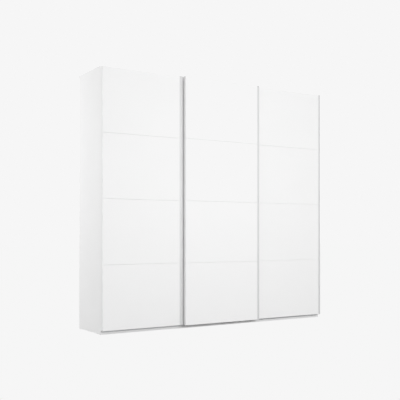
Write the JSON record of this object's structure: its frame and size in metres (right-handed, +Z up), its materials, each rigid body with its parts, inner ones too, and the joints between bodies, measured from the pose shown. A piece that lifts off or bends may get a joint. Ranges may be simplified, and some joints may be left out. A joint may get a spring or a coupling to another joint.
{
  "type": "sliding door wardrobe",
  "caption": "Tall white wardrobe with sliding panelled doors that hang in front of a carcass, grip strips, shelves and hanging rails inside.",
  "frame": {"origin": "on the floor, at the middle of the width and of the whole depth", "axes": "+X along the width to the right seen from the front, +Y from the doors to the back, +Z up"},
  "size_m": [2.5, 0.57, 2.36],
  "materials": {
    "front_lacquer": "satin white lacquer",
    "door_core": "white melamine",
    "outer_board": "matt white melamine",
    "inner_board": "matt white melamine",
    "back_hardboard": "white painted hardboard",
    "aluminium_strip": "satin anodised",
    "aluminium_rail": "mill finish",
    "zinc_steel": "zinc plated",
    "chromed_tube": "polished",
    "nylon": "moulded white nylon",
    "wheel_plastic": "moulded grey",
    "rubber": "matt black"
  },
  "bodies": {
    "carcass": {"back_panel_left": "back_hardboard", "back_panel_middle": "back_hardboard", "back_panel_right": "back_hardboard", "bottom_board": "inner_board", "bottom_rail_base": "outer_board", "bottom_rail_ribs": "aluminium_rail", "cam_fittings": "zinc_steel", "carcass_screws": "zinc_steel", "end_buffers": "rubber", "floor_glides": "nylon", "hanging_rail_sockets": "nylon", "hanging_rails": "chromed_tube", "hat_shelf_left": "inner_board", "hat_shelf_middle": "inner_board", "hat_shelf_right": "inner_board", "partition_left": "inner_board", "partition_right": "inner_board", "plinth_front": "outer_board", "plinth_rear": "inner_board", "shelf_pins": "zinc_steel", "side_filler_strips": "outer_board", "side_panel_left": "outer_board", "side_panel_right": "outer_board", "top_board": "inner_board", "top_rail_base": "aluminium_rail", "top_rail_ribs": "aluminium_rail", "wall_brackets": "zinc_steel"},
    "left_door": {"left_door_board": "door_core", "left_door_fixings": "zinc_steel", "left_door_grip_strip": "aluminium_strip", "left_door_guides": "nylon", "left_door_hangers": "zinc_steel", "left_door_panel_bottom": "front_lacquer", "left_door_panel_lower": "front_lacquer", "left_door_panel_top": "front_lacquer", "left_door_panel_upper": "front_lacquer"},
    "left_door_wheel_left": {"left_door_wheel_left": "wheel_plastic"},
    "left_door_wheel_right": {"left_door_wheel_right": "wheel_plastic"},
    "middle_door": {"middle_door_board": "door_core", "middle_door_fixings": "zinc_steel", "middle_door_grip_strip": "aluminium_strip", "middle_door_guides": "nylon", "middle_door_hangers": "zinc_steel", "middle_door_panel_bottom": "front_lacquer", "middle_door_panel_lower": "front_lacquer", "middle_door_panel_top": "front_lacquer", "middle_door_panel_upper": "front_lacquer"},
    "middle_door_wheel_left": {"middle_door_wheel_left": "wheel_plastic"},
    "middle_door_wheel_right": {"middle_door_wheel_right": "wheel_plastic"},
    "right_door": {"right_door_board": "door_core", "right_door_fixings": "zinc_steel", "right_door_grip_strip": "aluminium_strip", "right_door_guides": "nylon", "right_door_hangers": "zinc_steel", "right_door_panel_bottom": "front_lacquer", "right_door_panel_lower": "front_lacquer", "right_door_panel_top": "front_lacquer", "right_door_panel_upper": "front_lacquer"},
    "right_door_wheel_left": {"right_door_wheel_left": "wheel_plastic"},
    "right_door_wheel_right": {"right_door_wheel_right": "wheel_plastic"}
  },
  "joints": [
    {"name": "left_door_slide", "type": "slide", "parent": "carcass", "child": "left_door", "axis": [1, 0, 0], "range_m": [0, 0.395]},
    {"name": "middle_door_slide", "type": "slide", "parent": "carcass", "child": "middle_door", "axis": [1, 0, 0], "range_m": [-0.817, 0.833]},
    {"name": "right_door_slide", "type": "slide", "parent": "carcass", "child": "right_door", "axis": [1, 0, 0], "range_m": [-0.395, 0]},
    {"name": "left_door_wheel_left_spin", "type": "hinge", "parent": "left_door", "child": "left_door_wheel_left", "pos_m": [-1.105, -0.165, 2.3261], "axis": [0, 1, 0], "continuous": true},
    {"name": "left_door_wheel_right_spin", "type": "hinge", "parent": "left_door", "child": "left_door_wheel_right", "pos_m": [-0.545, -0.165, 2.3261], "axis": [0, 1, 0], "continuous": true},
    {"name": "middle_door_wheel_left_spin", "type": "hinge", "parent": "middle_door", "child": "middle_door_wheel_left", "pos_m": [-0.288, -0.115, 2.3261], "axis": [0, 1, 0], "continuous": true},
    {"name": "middle_door_wheel_right_spin", "type": "hinge", "parent": "middle_door", "child": "middle_door_wheel_right", "pos_m": [0.272, -0.115, 2.3261], "axis": [0, 1, 0], "continuous": true},
    {"name": "right_door_wheel_left_spin", "type": "hinge", "parent": "right_door", "child": "right_door_wheel_left", "pos_m": [0.545, -0.165, 2.3261], "axis": [0, 1, 0], "continuous": true},
    {"name": "right_door_wheel_right_spin", "type": "hinge", "parent": "right_door", "child": "right_door_wheel_right", "pos_m": [1.105, -0.165, 2.3261], "axis": [0, 1, 0], "continuous": true}
  ],
  "couplings": [
    {"joint": "left_door_wheel_left_spin", "follows": "left_door_slide", "rad_per_m": 90.909},
    {"joint": "left_door_wheel_right_spin", "follows": "left_door_slide", "rad_per_m": 90.909},
    {"joint": "middle_door_wheel_left_spin", "follows": "middle_door_slide", "rad_per_m": 90.909},
    {"joint": "middle_door_wheel_right_spin", "follows": "middle_door_slide", "rad_per_m": 90.909},
    {"joint": "right_door_wheel_left_spin", "follows": "right_door_slide", "rad_per_m": 90.909},
    {"joint": "right_door_wheel_right_spin", "follows": "right_door_slide", "rad_per_m": 90.909}
  ]
}
